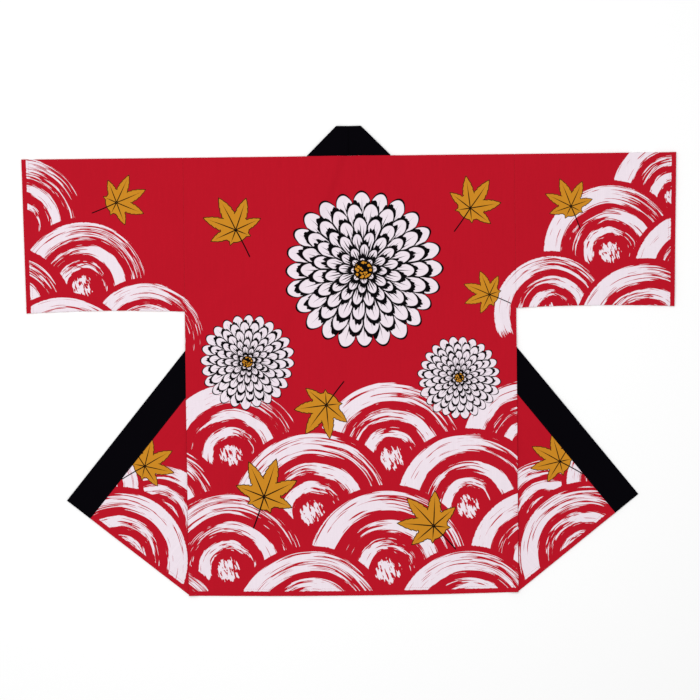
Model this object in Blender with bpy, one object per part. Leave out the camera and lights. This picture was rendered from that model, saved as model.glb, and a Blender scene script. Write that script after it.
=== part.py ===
"""A happi coat laid flat with its back up and both fronts turned out from under it.

Metres, +Z up, +X across the coat and +Y towards the collar. The origin is on the surface that the coat
lies on, below the middle of its outline. Each piece starts as a flat pattern on the right half of the
closed coat, which a place function then folds and stacks. The left half is its mirror image.
"""

import math

import bmesh
import bpy
from mathutils import Vector
from mathutils.geometry import delaunay_2d_cdt

# Driving dimensions
SLEEVE_SPAN = 1.300  # cuff to cuff along the shoulder line
BODY_LENGTH = 0.8696  # shoulder line to hem, at the side seam
BODY_HALF_AT_HEM = 0.3268
BODY_HALF_AT_ARMHOLE = 0.3290
HEM_DIP = 0.0033  # the back's hem hangs this much lower in its middle
SLEEVE_DEPTH = 0.3060  # shoulder line to underarm seam
CUFF_LEAN = 0.0070  # the cuff's lower corner is this much nearer the body
SLEEVE_ARCH = 0.0035  # rise of the underarm seam between body and cuff
NECK_HALF = 0.0834
COLLAR_WIDTH = 0.0590
FRONT_WIDTH = 0.2520  # side seam to collar, along the hem
CLOTH = 0.0010
BAND = 0.0020  # the doubled collar
GAP = 0.0003  # between pieces, at seams and between layers

# How a layer comes down beside what it lies on: the distance past the edge below it, and the share of
# the height that is left there.
SETTLING = (
    {"past": 0.0025, "share": 1.00},
    {"past": 0.0070, "share": 0.88},
    {"past": 0.0120, "share": 0.50},
    {"past": 0.0170, "share": 0.12},
    {"past": 0.0215, "share": 0.00},
)

FOLD_STEPS = 10
ROLL_STEPS = 4
HEM_STEPS = 8
SLEEVE_STATIONS = 14
SLEEVE_ROWS = 6
WEDGE_CAP = 0.0020  # how far past the turned front's narrow end its full height is kept

COTTON = {"red cotton": (0.47, 0.008, 0.016, 1.0), "black cotton": (0.006, 0.006, 0.009, 1.0)}
COTTON_ROUGHNESS = 0.85

# Derived sizes
LAYER_PITCH = CLOTH + GAP
BAND_PITCH = BAND + GAP
ROLL_RADIUS = LAYER_PITCH / 2
FOLD_RADIUS = BAND_PITCH / 2
FOLD_LENGTH = math.pi * FOLD_RADIUS
# The mitre's fold stands this far above the edge of the band that it turns.
STEEPEST = math.acos(-FOLD_RADIUS / (FOLD_RADIUS + BAND / 2))
MITRE_REACH = (FOLD_RADIUS + BAND / 2) * math.sin(STEEPEST) - FOLD_RADIUS * (math.pi - STEEPEST)
MITRE_BULGE = MITRE_REACH / math.sqrt(2)
SHOULDER = (BODY_LENGTH + HEM_DIP - COLLAR_WIDTH - GAP - MITRE_BULGE) / 2
HEM = SHOULDER - BODY_LENGTH
ARMPIT = SHOULDER - SLEEVE_DEPTH
ROLL_START = SHOULDER - ROLL_RADIUS - CLOTH / 2
ROLL_END = ROLL_START + math.pi * ROLL_RADIUS
SEAM_AT_HEM = BODY_HALF_AT_HEM - FRONT_WIDTH
CUFF = SLEEVE_SPAN / 2


class Line:
    """A straight line on the pattern, and how far past it, on its right, any point lies."""

    def __init__(self, start, end):
        self.start = Vector(start)
        self.along = (Vector(end) - self.start).normalized()
        self.right = Vector((self.along.y, -self.along.x))

    def past(self, point):
        return (point - self.start).dot(self.right)

    def mirrored(self, point):
        return point - 2 * self.past(point) * self.right

    def parallel(self, past):
        """The ends of a long cut this far past the line."""
        middle = self.start + past * self.right
        return middle - 2 * self.along, middle + 2 * self.along


HEM_CORNER = Vector((BODY_HALF_AT_HEM, HEM))
NECK_POINT = Vector((NECK_HALF - COLLAR_WIDTH, SHOULDER))
COLLAR_SEAM = Line((SEAM_AT_HEM, HEM), (NECK_HALF, SHOULDER))
COLLAR_EDGE = Line((SEAM_AT_HEM - COLLAR_WIDTH, HEM), NECK_POINT)
# The front and the collar turn under past this line, from the neck to the hem's corner.
TURN = Line(NECK_POINT, HEM_CORNER)
# The turned front's outer edge on the table, and a short end across its narrow tip at the neck.
FLAP_EDGE = Line(TURN.mirrored(COLLAR_EDGE.start), NECK_POINT)
TIP_AXIS = (FLAP_EDGE.along - TURN.along).normalized()
TIP = Line(NECK_POINT, NECK_POINT + Vector((-TIP_AXIS.y, TIP_AXIS.x)))
# The collar turns the corner from the front to the back of the neck past this line.
MITRE_SUM = NECK_HALF + SHOULDER + GAP - FOLD_LENGTH / math.sqrt(2)
MITRE = Line((NECK_HALF, MITRE_SUM - NECK_HALF), (0, MITRE_SUM))


def settled(past):
    """The share of its height that a layer keeps at this distance past the edge that it lies over."""
    if past <= SETTLING[0]["past"]:
        return 1.0
    for near, far in zip(SETTLING, SETTLING[1:]):
        if past <= far["past"]:
            part = (past - near["past"]) / (far["past"] - near["past"])
            return near["share"] + part * (far["share"] - near["share"])
    return 0.0


def over_flap(point):
    """How fully a layer at this point is held up by the turned front beneath it."""
    tip = TIP.past(point) - WEDGE_CAP
    return settled(max(FLAP_EDGE.past(point), TURN.past(point), tip))


def over_strip(point):
    """How fully a layer here is held up by the collar's stretch between its turn and the shoulder."""
    return settled(max(COLLAR_SEAM.past(point), TURN.past(point)))


def into_band(past):
    """The rise of a single cloth into the middle of the doubled collar, this far from their seam."""
    return (BAND - CLOTH) / 2 * settled(past)


def folded(line, point, offset, before, after):
    """A point of cloth folded back along a line. before and after are the cloth's middle heights on the
    two sides of the fold. The printed face looks down before it and up after it, and offset is the
    distance from the middle of the cloth towards that face."""
    past = line.past(point)
    if past <= 0:
        return Vector((*point, before - offset))
    foot = point - past * line.right
    if past >= FOLD_LENGTH:
        return Vector((*(foot - (past - FOLD_LENGTH) * line.right), after + offset))
    angle = past / FOLD_RADIUS
    reach = (before - after) / 2 - offset
    bulge = math.copysign(reach, 1) * math.sin(angle)
    return Vector((*(foot + bulge * line.right), (before + after) / 2 + reach * math.cos(angle)))


def place_back(point, offset):
    """The back lies over both fronts, sinks to the table between them, and rolls over at the shoulder."""
    rise = BAND_PITCH * over_flap(point) + (BAND - CLOTH) * over_strip(point)
    rise += into_band(max(SHOULDER - point.y, point.x - NECK_HALF))
    if point.y > ROLL_START and point.x > NECK_HALF:
        angle = (point.y - ROLL_START) / ROLL_RADIUS
        reach = ROLL_RADIUS + offset
        middle = rise + ROLL_RADIUS + CLOTH / 2
        return Vector((point.x, ROLL_START + reach * math.sin(angle), middle + reach * math.cos(angle)))
    rise += LAYER_PITCH * settled(TURN.past(point))
    return Vector((*point, rise + CLOTH / 2 + offset))


def place_front(point, offset):
    turned = TURN.past(point) > 0
    rise = BAND_PITCH if turned else BAND_PITCH * over_flap(point)
    middle = CLOTH / 2 + into_band(COLLAR_SEAM.past(point))
    return folded(TURN, point, offset, rise + middle, middle)


def place_collar(point, offset):
    """The collar turns out with the front, and mitres over at the shoulder to cross the back neck."""
    if MITRE.past(point) > 0:
        place = folded(MITRE, point, offset, BAND / 2, BAND / 2 + BAND_PITCH)
        place.z += BAND_PITCH * (over_flap(place.xy) + settled(NECK_POINT.x - place.x) - 1)
        return place
    turned = TURN.past(point) > 0
    rise = BAND_PITCH if turned else BAND_PITCH * over_flap(point)
    return folded(TURN, point, offset, rise + BAND / 2, BAND / 2)


def inside(point, outline):
    """Whether a point lies inside a closed outline."""
    crossings = 0
    for start, end in zip(outline, outline[1:] + outline[:1]):
        if (start.y > point.y) != (end.y > point.y):
            part = (point.y - start.y) / (end.y - start.y)
            crossings += point.x < start.x + part * (end.x - start.x)
    return crossings % 2 == 1


def cut_pattern(outline, cuts):
    """The points and triangles of a flat pattern, split along the cuts."""
    points = list(outline)
    edges = [(i, (i + 1) % len(outline)) for i in range(len(outline))]
    for cut in cuts:
        edges.append((len(points), len(points) + 1))
        points += cut
    points, _, triangles, *_ = delaunay_2d_cdt(points, edges, [], 0, 1e-6)
    kept = []
    for triangle in triangles:
        middle = sum((points[i] for i in triangle), Vector((0, 0))) / 3
        if inside(middle, outline):
            kept.append(triangle)
    return points, kept


def cloth(outline, cuts, place, thickness):
    """A wall of cloth: the pattern's printed face and its back, joined round the edge."""
    outline = [Vector(corner) for corner in outline]
    points, triangles = cut_pattern(outline, cuts)
    piece = bmesh.new()
    printed = {}
    plain = {}
    for i in sorted({i for triangle in triangles for i in triangle}):
        printed[i] = piece.verts.new(place(points[i], thickness / 2))
        plain[i] = piece.verts.new(place(points[i], -thickness / 2))
    rim = set()
    for triangle in triangles:
        piece.faces.new([printed[i] for i in triangle])
        piece.faces.new([plain[i] for i in reversed(triangle)])
        for i, j in zip(triangle, triangle[1:] + triangle[:1]):
            if (j, i) in rim:
                rim.remove((j, i))
            else:
                rim.add((i, j))
    for i, j in sorted(rim):
        piece.faces.new((plain[i], plain[j], printed[j], printed[i]))
    return piece


def finish(piece, name, finish_name):
    """Turns a bmesh into a named object with its own material."""
    bmesh.ops.triangulate(piece, faces=piece.faces)
    bmesh.ops.recalc_face_normals(piece, faces=piece.faces)
    mesh = bpy.data.meshes.new(name)
    piece.to_mesh(mesh)
    piece.free()
    mesh.shade_smooth()
    mesh.set_sharp_from_angle(angle=math.radians(40))
    material = bpy.data.materials.new(name + " " + finish_name)
    material.use_nodes = True
    shader = material.node_tree.nodes["Principled BSDF"]
    shader.inputs["Base Color"].default_value = COTTON[finish_name]
    shader.inputs["Roughness"].default_value = COTTON_ROUGHNESS
    shader.inputs["Metallic"].default_value = 0.0
    mesh.materials.append(material)
    thing = bpy.data.objects.new(name, mesh)
    bpy.context.scene.collection.objects.link(thing)
    return thing


def mirrored(piece):
    """The same piece for the left half."""
    other = piece.copy()
    for vertex in other.verts:
        vertex.co.x = -vertex.co.x
    bmesh.ops.reverse_faces(other, faces=other.faces)
    return other


def whole(piece):
    """Joins a right half to its mirror image, after opening the wall where they meet."""
    middle = [face for face in piece.faces if all(abs(v.co.x) < 1e-6 for v in face.verts)]
    bmesh.ops.delete(piece, geom=middle, context="FACES_ONLY")
    for vertex in piece.verts:
        if abs(vertex.co.x) < 1e-6:
            vertex.co.x = 0.0
    geometry = [*piece.verts, *piece.edges, *piece.faces]
    bmesh.ops.mirror(piece, geom=geometry, axis="X", merge_dist=1e-6)
    return piece


def settling_cuts(line, start=0.0):
    return [line.parallel(start + knot["past"]) for knot in SETTLING]


def fold_cuts(line):
    return [line.parallel(FOLD_LENGTH * step / FOLD_STEPS) for step in range(FOLD_STEPS + 1)]


def level(height):
    """A long cut straight across the pattern."""
    return Vector((-1, height)), Vector((1, height))


def back():
    outline = []
    for step in range(HEM_STEPS + 1):
        x = BODY_HALF_AT_HEM * step / HEM_STEPS
        outline.append((x, HEM - HEM_DIP * (1 - (x / BODY_HALF_AT_HEM) ** 2)))
    outline += [
        (BODY_HALF_AT_ARMHOLE, ARMPIT),
        (BODY_HALF_AT_ARMHOLE, ROLL_END),
        (NECK_HALF + GAP, ROLL_END),
        (NECK_HALF + GAP, SHOULDER),
        (0, SHOULDER),
    ]
    cuts = [TURN.parallel(0), *settling_cuts(TURN), *settling_cuts(FLAP_EDGE)]
    cuts += [*settling_cuts(COLLAR_SEAM), *settling_cuts(TIP, WEDGE_CAP)]
    cuts += [level(SHOULDER - knot["past"]) for knot in SETTLING]
    for step in range(ROLL_STEPS):
        cuts.append(level(ROLL_START + (ROLL_END - ROLL_START) * step / ROLL_STEPS))
    finish(whole(cloth(outline, cuts, place_back, CLOTH)), "back", "red cotton")


def fronts():
    seam = COLLAR_SEAM.right * GAP
    outline = [
        (SEAM_AT_HEM + seam.x, HEM),
        HEM_CORNER,
        (BODY_HALF_AT_ARMHOLE, ARMPIT),
        (BODY_HALF_AT_ARMHOLE, ROLL_START - GAP),
        (NECK_HALF + seam.x, ROLL_START - GAP),
    ]
    cuts = [*fold_cuts(TURN), *settling_cuts(FLAP_EDGE), *settling_cuts(COLLAR_SEAM)]
    right = cloth(outline, cuts, place_front, CLOTH)
    left = mirrored(right)
    finish(right, "front_right", "red cotton")
    finish(left, "front_left", "red cotton")


def collar():
    centre = MITRE_SUM + FOLD_LENGTH / math.sqrt(2)
    outline = [
        (SEAM_AT_HEM - COLLAR_WIDTH, HEM),
        (SEAM_AT_HEM, HEM),
        (NECK_HALF, SHOULDER),
        (NECK_HALF, centre),
        (NECK_HALF - COLLAR_WIDTH, centre),
        (NECK_HALF - COLLAR_WIDTH, SHOULDER),
    ]
    cuts = [*fold_cuts(TURN), *fold_cuts(MITRE), *settling_cuts(FLAP_EDGE)]
    cuts += settling_cuts(TIP, WEDGE_CAP)
    for knot in SETTLING:
        cuts.append(level(centre - NECK_POINT.x + knot["past"]))
    finish(whole(cloth(outline, cuts, place_collar, BAND)), "collar", "black cotton")


def sleeve_ring(part, offset):
    """One ring of the flattened sleeve, this share of the way from armhole to cuff."""
    underarm = ARMPIT + SLEEVE_ARCH * 4 * part * (1 - part) + ROLL_RADIUS + CLOTH / 2
    reach = ROLL_RADIUS + offset
    middle = ROLL_RADIUS + CLOTH / 2
    ring = []
    for row in range(1, SLEEVE_ROWS):
        ring.append((underarm + (ROLL_START - underarm) * row / SLEEVE_ROWS, middle + reach))
    for step in range(ROLL_STEPS + 1):
        angle = math.pi * step / ROLL_STEPS
        ring.append((ROLL_START + reach * math.sin(angle), middle + reach * math.cos(angle)))
    for row in range(1, SLEEVE_ROWS):
        ring.append((ROLL_START + (underarm - ROLL_START) * row / SLEEVE_ROWS, middle - reach))
    for step in range(ROLL_STEPS + 1):
        angle = math.pi * step / ROLL_STEPS
        ring.append((underarm - reach * math.sin(angle), middle - reach * math.cos(angle)))
    armhole = BODY_HALF_AT_ARMHOLE + GAP
    points = []
    for y, z in ring:
        lean = CUFF_LEAN * (SHOULDER - y) / SLEEVE_DEPTH
        points.append((armhole + (CUFF - lean - armhole) * part, y, z))
    return points


def sleeves():
    right = bmesh.new()
    walls = []
    for offset in (CLOTH / 2, -CLOTH / 2):
        rings = []
        for station in range(SLEEVE_STATIONS + 1):
            ring = sleeve_ring(station / SLEEVE_STATIONS, offset)
            rings.append([right.verts.new(point) for point in ring])
        for near, far in zip(rings, rings[1:]):
            for i in range(len(near)):
                j = (i + 1) % len(near)
                right.faces.new((near[i], near[j], far[j], far[i]))
        walls.append(rings)
    for outer, inner in ((walls[0][0], walls[1][0]), (walls[0][-1], walls[1][-1])):
        for i in range(len(outer)):
            j = (i + 1) % len(outer)
            right.faces.new((outer[i], outer[j], inner[j], inner[i]))
    bmesh.ops.recalc_face_normals(right, faces=right.faces)
    left = mirrored(right)
    finish(right, "sleeve_right", "red cotton")
    finish(left, "sleeve_left", "red cotton")


def main():
    for thing in list(bpy.data.objects):
        bpy.data.objects.remove(thing, do_unlink=True)
    back()
    fronts()
    collar()
    sleeves()


main()
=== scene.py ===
import math

import bpy
import numpy as np
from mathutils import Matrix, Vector
from mathutils.geometry import delaunay_2d_cdt


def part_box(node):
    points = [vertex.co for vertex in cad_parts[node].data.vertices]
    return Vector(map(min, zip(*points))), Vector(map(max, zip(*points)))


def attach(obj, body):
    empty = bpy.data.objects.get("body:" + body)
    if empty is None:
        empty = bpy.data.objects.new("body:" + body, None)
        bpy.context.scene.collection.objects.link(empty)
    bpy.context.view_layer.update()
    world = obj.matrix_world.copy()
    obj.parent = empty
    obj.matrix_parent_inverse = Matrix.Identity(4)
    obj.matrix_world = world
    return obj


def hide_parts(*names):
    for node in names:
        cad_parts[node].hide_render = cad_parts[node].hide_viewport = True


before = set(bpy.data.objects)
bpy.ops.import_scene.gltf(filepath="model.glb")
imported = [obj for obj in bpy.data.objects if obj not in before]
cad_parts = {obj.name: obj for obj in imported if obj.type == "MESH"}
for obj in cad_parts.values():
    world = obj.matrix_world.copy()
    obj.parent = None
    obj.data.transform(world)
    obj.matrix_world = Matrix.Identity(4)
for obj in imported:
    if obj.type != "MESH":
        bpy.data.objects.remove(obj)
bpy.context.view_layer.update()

# The coat's cut, in metres. The pattern is the right half of the closed coat, seen from behind.
cut = {
    "sleeveSpan": 1.300,
    "bodyLength": 0.8696,
    "halfAtHem": 0.3268,
    "halfAtArmhole": 0.3290,
    "hemDip": 0.0033,
    "sleeveDepth": 0.3060,
    "cuffLean": 0.0070,
    "sleeveArch": 0.0035,
    "neckHalf": 0.0834,
    "collarWidth": 0.0590,
    "frontWidth": 0.2520,
    "clothSpace": 0.0010,  # what the frame gives to one cloth
    "bandSpace": 0.0020,  # what it gives to the doubled collar
    "layerGap": 0.0003,
}

# How closely the cloth is meshed, and how thick it really is.
cloth = {
    "pitch": 0.0042,
    "rowPitch": 0.87,  # between the rows of points, in pitches
    "clearance": 0.42,  # no point inside lies nearer to an edge than this, in pitches
    "thickness": 0.0007,
    "edgeShare": 0.35,  # of the thickness, left at a rounded edge
    "seamGap": 0.00008,
    "seamLap": 0.00010,  # the fronts reach this far into the collar
    "seamTurn": 0.04,  # the underarm seam's two edges each stop this angle short of the fold's crest
    "foldSteps": 8,
    "rollSteps": 6,
    "settleFrom": 0.0025,  # a layer keeps its height this far past the edge beneath it
    "settleOver": 0.0210,  # and sinks over this distance
    "tipOverlap": 0.0020,  # the turned front's tip counts as longer by this much
}

layerPitch = cut["clothSpace"] + cut["layerGap"]
bandPitch = cut["bandSpace"] + cut["layerGap"]
rollRadius = layerPitch / 2
foldRadius = bandPitch / 2
foldLength = math.pi * foldRadius
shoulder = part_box("back")[1].y
hem = shoulder - cut["bodyLength"]
armpit = shoulder - cut["sleeveDepth"]
rollStart = shoulder - rollRadius - cut["clothSpace"] / 2
rollEnd = rollStart + math.pi * rollRadius
seamAtHem = cut["halfAtHem"] - cut["frontWidth"]
cuff = cut["sleeveSpan"] / 2


class Line:
    # A straight line on the pattern. past says how far beyond it, on its right, points lie.
    def __init__(self, start, end):
        self.start = np.array(start, float)
        way = np.array(end, float) - self.start
        self.along = way / np.hypot(*way)
        self.right = np.array((self.along[1], -self.along[0]))

    def past(self, points):
        return (points - self.start) @ self.right

    def mirrored(self, points):
        return points - 2 * np.multiply.outer(self.past(points), self.right)

    def parallel(self, past):
        # A line beside it that is longer than the coat at both ends.
        middle = self.start + past * self.right
        return middle - 2 * self.along, middle + 2 * self.along


neckPoint = (cut["neckHalf"] - cut["collarWidth"], shoulder)
collarSeam = Line((seamAtHem, hem), (cut["neckHalf"], shoulder))
collarEdge = Line((seamAtHem - cut["collarWidth"], hem), neckPoint)
turn = Line(neckPoint, (cut["halfAtHem"], hem))
flapEdge = Line(turn.mirrored(collarEdge.start), neckPoint)
tipAxis = flapEdge.along - turn.along
tipAxis /= np.hypot(*tipAxis)
tip = Line(neckPoint, (neckPoint[0] - tipAxis[1], neckPoint[1] + tipAxis[0]))
mitreSum = cut["neckHalf"] + shoulder + cut["layerGap"] - foldLength / math.sqrt(2)
mitre = Line((cut["neckHalf"], mitreSum - cut["neckHalf"]), (0, mitreSum))


def smooth(low, high, values):
    part = np.clip((values - low) / (high - low), 0, 1)
    return part * part * (3 - 2 * part)


def settled(past):
    # The share of its height that a layer keeps at this distance past the edge that it lies over.
    start = cloth["settleFrom"]
    return 1 - smooth(start, start + cloth["settleOver"], past)


def overFlap(points):
    # The share of its height that a layer keeps where it lies over a front's turned part.
    ends = np.maximum(turn.past(points), tip.past(points) - cloth["tipOverlap"])
    return settled(np.maximum(flapEdge.past(points), ends))


def overStrip(points):
    # The same where the back lies over the collar's strip of the front.
    return settled(np.maximum(collarSeam.past(points), turn.past(points)))


def intoBand(past):
    # Cloth rises towards the collar's seam, to meet the middle of the thicker band.
    return (cut["bandSpace"] - cut["clothSpace"]) / 2 * settled(past)


def folded(line, points, offset, before, after):
    # Cloth folded back along a line, from a middle height before it to one after it. The printed face
    # looks down before the fold and up after it, and offset is measured towards that face.
    past = line.past(points)
    foot = points - np.multiply.outer(past, line.right)
    angle = np.clip(past / foldRadius, 0, math.pi)
    reach = (before - after) / 2 - offset
    across = np.abs(reach) * np.sin(angle) + np.minimum(past, 0) - np.maximum(past - foldLength, 0)
    height = (before + after) / 2 + reach * np.cos(angle)
    return np.column_stack((foot + across[:, None] * line.right, height))


# Soft creases, left from the coat's storage and from where the sleeves pull. Each is a ridge or, below
# zero, a trough in a cloth that is already a little off the table.
creases = {
    "swing": 0.35,  # how unevenly a crease bows along its length
    "swingRate": 5,
    "spread": (0.75, 1.25),  # how it widens from its start to its end, in shares of its width
    "fadeIn": (-0.08, 0.22),  # where it starts and ends, as shares of its length
    "fadeOut": (0.62, 1.08),
    "rows": (  # start x and y, end x and y, bow, width and height
        (-0.318, 0.112, -0.140, 0.205, 0.010, 0.011, 0.0011),
        (-0.322, 0.090, -0.205, 0.020, -0.012, 0.009, 0.0008),
        (0.318, 0.118, 0.165, 0.240, -0.008, 0.012, 0.0012),
        (0.323, 0.082, 0.240, -0.035, 0.010, 0.009, 0.0009),
        (-0.330, 0.125, -0.455, 0.190, 0.006, 0.010, 0.0010),
        (0.332, 0.130, 0.480, 0.215, -0.009, 0.011, 0.0011),
        (-0.470, 0.392, -0.430, 0.120, 0.008, 0.009, -0.0006),
        (0.505, 0.395, 0.540, 0.135, -0.006, 0.010, -0.0007),
        (0.415, 0.385, 0.400, 0.290, 0.004, 0.008, 0.0007),
        (-0.565, 0.120, -0.590, 0.240, 0.005, 0.008, 0.0008),
        (-0.215, -0.110, -0.175, -0.440, 0.012, 0.012, 0.0009),
        (-0.060, -0.205, -0.085, -0.452, -0.007, 0.010, 0.0007),
        (0.130, -0.150, 0.175, -0.430, 0.014, 0.013, 0.0010),
        (0.245, -0.250, 0.230, -0.445, 0.005, 0.009, 0.0008),
        (-0.120, 0.388, -0.150, 0.265, -0.006, 0.010, 0.0008),
        (0.142, 0.390, 0.190, 0.300, 0.007, 0.011, 0.0007),
        (-0.005, 0.060, 0.010, -0.160, 0.009, 0.012, -0.0006),
        (-0.250, -0.030, -0.110, -0.052, 0.006, 0.010, -0.0005),
        (0.060, -0.012, 0.220, 0.006, -0.007, 0.011, -0.0005),
        (0.350, -0.205, 0.440, -0.318, 0.006, 0.009, 0.0008),
        (-0.362, -0.235, -0.452, -0.300, -0.007, 0.010, 0.0009),
        (-0.345, -0.060, -0.385, -0.150, 0.004, 0.008, 0.0006),
        (0.352, -0.085, 0.372, -0.175, -0.004, 0.008, 0.0006),
    ),
}

# The slow rise and fall of cloth that lies loose, as a sum of long waves.
loose = {
    "height": 0.0009,
    "bend": 0.8,
    "bendWay": (-7, 9),
    "rows": (  # length, direction in degrees, phase and share
        (0.310, 18, 0.6, 1.0),
        (0.214, 103, 2.1, 0.8),
        (0.171, 64, 4.4, 0.7),
        (0.128, 151, 1.3, 0.5),
        (0.093, 37, 5.2, 0.35),
    ),
}

# The small unevenness of soft cotton, as a sum of short waves that start and stop.
crumple = {
    "seed": 12,
    "waves": 14,
    "shortest": 0.026,
    "longest": 0.075,
    "height": 0.00042,
    "stopsAcross": 0.9,  # how fast a wave comes and goes, in radians over its own length
    "stopsAlong": 0.7,
    "bend": 31,
}


def crumpled(x, y):
    chance = np.random.default_rng(crumple["seed"])
    total = np.zeros(len(x))
    for length in np.linspace(crumple["shortest"], crumple["longest"], crumple["waves"]):
        angle, phase, drift, swing = chance.uniform(0, 2 * math.pi, 4)
        along = x * math.cos(angle) + y * math.sin(angle)
        aside = y * math.cos(angle) - x * math.sin(angle)
        comes = np.sin(aside / length * crumple["stopsAcross"] + drift)
        goes = np.sin(along / length * crumple["stopsAlong"] + swing)
        bent = np.sin(aside * crumple["bend"] + drift)
        wave = np.sin(2 * math.pi * along / length + phase + bent)
        total += length * (0.5 + 0.5 * comes * goes) * wave
    return total * crumple["height"] / crumple["longest"] / math.sqrt(crumple["waves"])


def lift(places):
    # How far the cloth stands off what it lies on. Every layer here rises together.
    x, y = places[:, 0], places[:, 1]
    wave = np.zeros(len(places))
    for length, degrees, phase, share in loose["rows"]:
        angle = math.radians(degrees)
        along = (x * math.cos(angle) + y * math.sin(angle)) / length
        bent = loose["bend"] * np.sin(places[:, :2] @ loose["bendWay"] + phase)
        wave += share * np.sin(2 * math.pi * along + phase + bent)
    whole = sum(row[3] for row in loose["rows"])
    height = loose["height"] * (1 + wave / whole) + crumpled(x, y)
    for startX, startY, endX, endY, bow, width, rise in creases["rows"]:
        crease = Line((startX, startY), (endX, endY))
        part = (places[:, :2] - crease.start) @ crease.along / math.hypot(endX - startX, endY - startY)
        within = np.clip(part, 0, 1)
        swing = 1 + creases["swing"] * np.sin(creases["swingRate"] * part)
        side = crease.past(places[:, :2]) - bow * np.sin(math.pi * within) * swing
        spread = width * (creases["spread"][0] * (1 - within) + creases["spread"][1] * within)
        ends = smooth(*creases["fadeIn"], part) * (1 - smooth(*creases["fadeOut"], part))
        height += rise * ends * np.exp(-(side / spread) ** 2)
    return np.maximum(height, 0)


def subdivided(corners, closed=True):
    # Points along a line of corners, about a pitch apart.
    points = []
    ends = corners[1:] + (corners[:1] if closed else [])
    for start, end in zip(corners, ends):
        start = np.array(start, float)
        end = np.array(end, float)
        steps = max(1, round(np.hypot(*(end - start)) / cloth["pitch"]))
        points += [start + (end - start) * step / steps for step in range(steps)]
    return points if closed else points + [np.array(corners[-1], float)]


def distanceTo(start, end, points):
    # The distance from each point to a stretch of straight line.
    start = np.array(start, float)
    way = np.array(end, float) - start
    part = np.clip((points - start) @ way / (way @ way), 0, 1)
    return np.hypot(*(points - start - part[:, None] * way).T)


def insideOf(corners, points):
    # Which points lie inside a closed outline.
    inside = np.zeros(len(points), bool)
    x, y = points.T
    for start, end in zip(corners, corners[1:] + corners[:1]):
        if start[1] == end[1]:
            continue
        crosses = (start[1] > y) != (end[1] > y)
        edge = start[0] + (y - start[1]) * (end[0] - start[0]) / (end[1] - start[1])
        inside ^= crosses & (x < edge)
    return inside


def besidePath(path, distance):
    # A path of corners moved sideways, to its left.
    path = np.array(path, float)
    ways = np.diff(path, axis=0)
    ways /= np.hypot(*ways.T)[:, None]
    normals = np.column_stack((-ways[:, 1], ways[:, 0]))
    before = np.concatenate((normals[:1], normals))
    after = np.concatenate((normals, normals[-1:]))
    bend = 1 + np.sum(before * after, axis=1)
    moved = path + distance * (before + after) / bend[:, None]
    return [tuple(point) for point in moved]


def meshPattern(corners, lines):
    # The points and triangles of a flat pattern, closely meshed and split along every line.
    pitch = cloth["pitch"]
    corners = [tuple(corner) for corner in corners]
    rim = subdivided(corners)
    points = list(rim)
    edges = [(i, (i + 1) % len(rim)) for i in range(len(rim))]
    low = np.min(corners, axis=0) - pitch
    high = np.max(corners, axis=0) + pitch
    stretches = []
    for line in lines:
        row = np.array(subdivided([tuple(corner) for corner in line], closed=False))
        row = row[np.all((row > low) & (row < high), axis=1)]
        edges += [(len(points) + i, len(points) + i + 1) for i in range(len(row) - 1)]
        points += list(row)
        stretches += zip(line, line[1:])
    grid = []
    for i, y in enumerate(np.arange(low[1], high[1], pitch * cloth["rowPitch"])):
        columns = np.arange(low[0] + (i % 2) * pitch / 2, high[0], pitch)
        grid.append(np.column_stack((columns, np.full(len(columns), y))))
    grid = np.concatenate(grid)
    grid = grid[insideOf(corners, grid)]
    for start, end in [*zip(corners, corners[1:] + corners[:1]), *stretches]:
        grid = grid[distanceTo(start, end, grid) > cloth["clearance"] * pitch]
    points += list(grid)
    flat, _, triangles, *_ = delaunay_2d_cdt([Vector(p) for p in points], edges, [], 0, 1e-7)
    points = np.array(flat)
    triangles = np.array(triangles)
    triangles = triangles[insideOf(corners, points[triangles].mean(axis=1))]
    used, index = np.unique(triangles, return_inverse=True)
    return points[used], index.reshape(triangles.shape)


farAway = 9.0  # further than any point of the coat is from a seam or a hem


def edgeDistance(path, points):
    # The distance from each point to the nearest stretch of a path.
    nearest = np.full(len(points), farAway)
    for start, end in zip(path, path[1:]):
        nearest = np.minimum(nearest, distanceTo(start, end, points))
    return nearest


def rimOf(faces):
    # The edges that only one face has, in its own direction.
    edges = np.stack((faces, np.roll(faces, -1, axis=1)), axis=2).reshape(-1, 2).tolist()
    known = {tuple(edge) for edge in edges}
    return np.array([edge for edge in edges if (edge[1], edge[0]) not in known])


def bothHalves(points, triangles):
    # The right half of a pattern with its mirror image, joined down the middle.
    points = points.copy()
    points[np.abs(points[:, 0]) < 1e-6, 0] = 0
    other = np.arange(len(points))
    off = points[:, 0] != 0
    other[off] = len(points) + np.arange(off.sum())
    mirror = points[off] * (-1, 1)
    return np.concatenate((points, mirror)), np.concatenate((triangles, other[triangles][:, ::-1]))


def onRight(points):
    # The same points, all on the right half.
    return np.column_stack((np.abs(points[:, 0]), points[:, 1]))


def acrossMiddle(place):
    # A place function that takes both halves.
    def placed(points, offset):
        places = place(onRight(points), offset)
        places[points[:, 0] < 0, 0] *= -1
        return places
    return placed


def softEdge(distance, half):
    # Half the thickness of cloth near its edge, which is rounded.
    part = np.clip(distance / half, 0, 1)
    blunt = cloth["edgeShare"]
    return half * (blunt + (1 - blunt) * np.sqrt(part * (2 - part)))


def addObject(name, data):
    made = bpy.data.objects.new(name, data)
    bpy.context.scene.collection.objects.link(made)
    return made


def cornerPoints(mesh):
    # The point at each corner of each face.
    corners = np.empty(len(mesh.loops), int)
    mesh.loops.foreach_get("vertex_index", corners)
    return corners


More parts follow.
